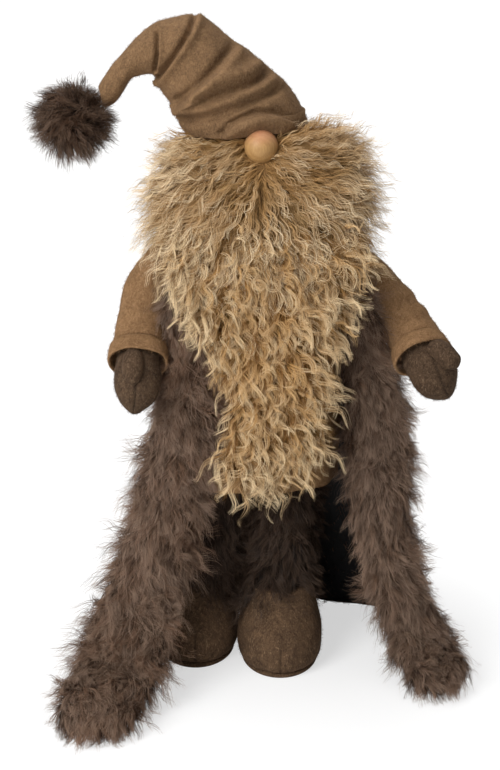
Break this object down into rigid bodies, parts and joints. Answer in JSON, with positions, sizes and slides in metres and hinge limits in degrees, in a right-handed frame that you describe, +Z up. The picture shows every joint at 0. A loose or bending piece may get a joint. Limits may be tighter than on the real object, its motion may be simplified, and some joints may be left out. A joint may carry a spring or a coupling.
{
  "type": "nisse figure",
  "caption": "Standing stuffed gnome figure with a bent felt hat and pom-pom, wooden nose, long curly beard, felt mittens and boots, and an open pile coat that trails on the floor",
  "frame": {"origin": "middle of the footprint, on the floor", "axes": "+Z up, the face towards -Y, +X to the right of someone looking at the face"},
  "size_m": [0.466, 0.396, 0.6995],
  "materials": {
    "hat_felt": "thick wool felt, melange brown-grey, matte",
    "sleeve_felt": "wool felt, warm brown, matte",
    "mitten_felt": "wool felt, dark brown, matte",
    "boot_felt": "wool felt, dark melange brown, matte",
    "coat_fur": "long soft pile, grey-brown, slight sheen",
    "pompom_fur": "long soft pile, dark brown, slight sheen",
    "beard_fur": "long curly pile, honey blond, slight sheen",
    "satin": "black satin lining, soft gloss",
    "stuffing": "white fibre filling, matte",
    "calico": "plain woven cotton, unbleached, matte",
    "wood": "turned and waxed light wood, satin",
    "board": "stiff brown board, matte",
    "steel": "bare bent wire, satin"
  },
  "bodies": {
    "figure": {"boot_sole_left": "boot_felt", "insole_board_left": "board", "weight_bag_left": "calico", "boot_left": "boot_felt", "leg_dowel_left": "wood", "trouser_leg_left": "coat_fur", "coat_front_left": "coat_fur", "boot_sole_right": "boot_felt", "insole_board_right": "board", "weight_bag_right": "calico", "boot_right": "boot_felt", "leg_dowel_right": "wood", "trouser_leg_right": "coat_fur", "coat_front_right": "coat_fur", "tunic": "sleeve_felt", "torso_stuffing": "stuffing", "hat_crown": "hat_felt", "hat_stuffing": "stuffing", "head": "calico", "nose": "wood", "face_hair": "beard_fur", "back_hair": "beard_fur", "coat_back": "coat_fur", "coat_lining": "satin"},
    "arm_left": {"arm_wire_left": "steel", "sleeve_left": "sleeve_felt", "cuff_left": "sleeve_felt", "mitten_left": "mitten_felt", "thumb_left": "mitten_felt"},
    "arm_right": {"arm_wire_right": "steel", "sleeve_right": "sleeve_felt", "cuff_right": "sleeve_felt", "mitten_right": "mitten_felt", "thumb_right": "mitten_felt"},
    "hat_tip": {"hat_tip": "hat_felt", "hat_tip_wire": "steel"},
    "pompom": {"pompom": "pompom_fur"},
    "beard": {"beard": "beard_fur"},
    "train_left": {"coat_train_left": "coat_fur"},
    "train_right": {"coat_train_right": "coat_fur"}
  },
  "joints": [
    {"name": "arm_left_lift", "type": "hinge", "parent": "figure", "child": "arm_left", "pos_m": [-0.10598, 0.01877, 0.44], "axis": [0, 1, 0], "range_deg": [0, 55]},
    {"name": "arm_right_lift", "type": "hinge", "parent": "figure", "child": "arm_right", "pos_m": [0.11202, 0.01877, 0.436], "axis": [0, -1, 0], "range_deg": [0, 55]},
    {"name": "hat_tip_bend", "type": "hinge", "parent": "figure", "child": "hat_tip", "pos_m": [-0.08998, 0.02877, 0.67], "axis": [0, 1, 0], "range_deg": [-15, 35]},
    {"name": "pompom_swing", "type": "hinge", "parent": "hat_tip", "child": "pompom", "pos_m": [-0.16398, 0.02877, 0.619], "axis": [0, 1, 0], "range_deg": [-25, 25]},
    {"name": "beard_lift", "type": "hinge", "parent": "figure", "child": "beard", "pos_m": [-0.01298, -0.05523, 0.476], "axis": [-1, 0, 0], "range_deg": [0, 45]},
    {"name": "train_left_swing", "type": "hinge", "parent": "figure", "child": "train_left", "pos_m": [-0.11298, 0.00577, 0.14], "axis": [0, 0, -1], "range_deg": [0, 15]},
    {"name": "train_right_swing", "type": "hinge", "parent": "figure", "child": "train_right", "pos_m": [0.15202, 0.00577, 0.14], "axis": [0, 0, 1], "range_deg": [0, 15]}
  ]
}
